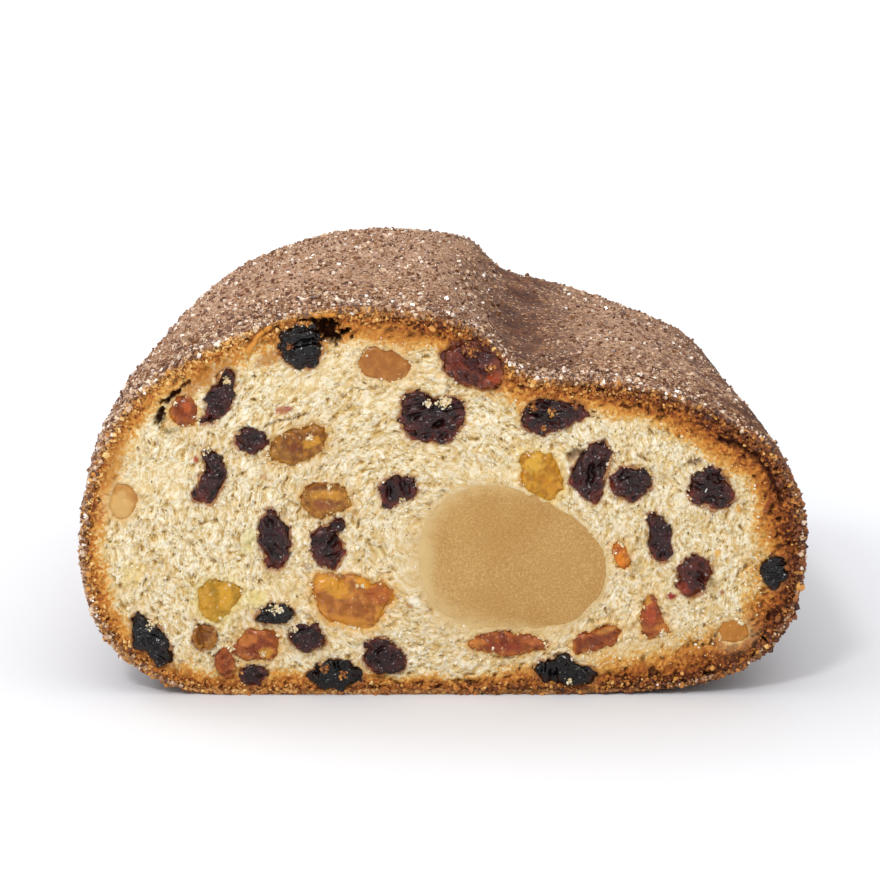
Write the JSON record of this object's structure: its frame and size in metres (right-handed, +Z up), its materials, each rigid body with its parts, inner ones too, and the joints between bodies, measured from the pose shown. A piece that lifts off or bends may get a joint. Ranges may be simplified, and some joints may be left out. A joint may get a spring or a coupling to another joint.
{
  "type": "marzipan stollen",
  "caption": "Half of a folded festive fruit loaf, cut straight across: browned sugared crust, pale crumb, a marzipan core and dried fruit, peel and almonds showing at the cut.",
  "frame": {"origin": "centre of the bounding box on the surface that the loaf rests on", "axes": "+Z up from the flat base; +Y runs along the loaf from the cut face to the rounded end; +X to the right when looking at the cut face"},
  "size_m": [0.1388, 0.172, 0.0747],
  "materials": {
    "dough": "pale cream yeast crumb, soft and open, with fine pores and torn strands",
    "crust": "browned baked crust, golden where it is cut, dark brown outside",
    "sugar": "coarse sugar grains, clear to white, sparkling",
    "crumbs": "loose golden crumbs of crust",
    "marzipan": "smooth fine-grained almond paste, slightly damp",
    "raisin": "wrinkled black-brown dried grape, slightly moist",
    "sultana": "amber translucent dried grape, moist",
    "apricot": "orange translucent dried fruit, moist",
    "citron": "yellow candied citron, translucent",
    "lemon_peel": "golden yellow candied lemon peel, translucent",
    "orange_peel": "orange candied peel, translucent",
    "almond": "cut almond, smooth and waxy"
  },
  "bodies": {
    "root": {"dough": "dough", "marzipan": "marzipan", "raisin_01": "raisin", "raisin_02": "raisin", "raisin_03": "raisin", "raisin_04": "raisin", "raisin_05": "raisin", "raisin_06": "raisin", "raisin_07": "raisin", "raisin_08": "raisin", "raisin_09": "raisin", "raisin_10": "raisin", "raisin_11": "raisin", "raisin_12": "raisin", "raisin_13": "raisin", "raisin_14": "raisin", "raisin_15": "raisin", "raisin_16": "raisin", "raisin_17": "raisin", "raisin_18": "raisin", "raisin_19": "raisin", "raisin_20": "raisin", "raisin_21": "raisin", "raisin_22": "raisin", "raisin_23": "raisin", "raisin_24": "raisin", "raisin_25": "raisin", "sultana_01": "sultana", "sultana_02": "sultana", "sultana_03": "sultana", "sultana_04": "sultana", "apricot_01": "apricot", "citron_01": "citron", "lemon_peel_01": "lemon_peel", "orange_peel_01": "orange_peel", "orange_peel_02": "orange_peel", "orange_peel_03": "orange_peel", "orange_peel_04": "orange_peel", "almond_01": "almond", "almond_02": "almond", "almond_03": "almond"}
  },
  "joints": []
}
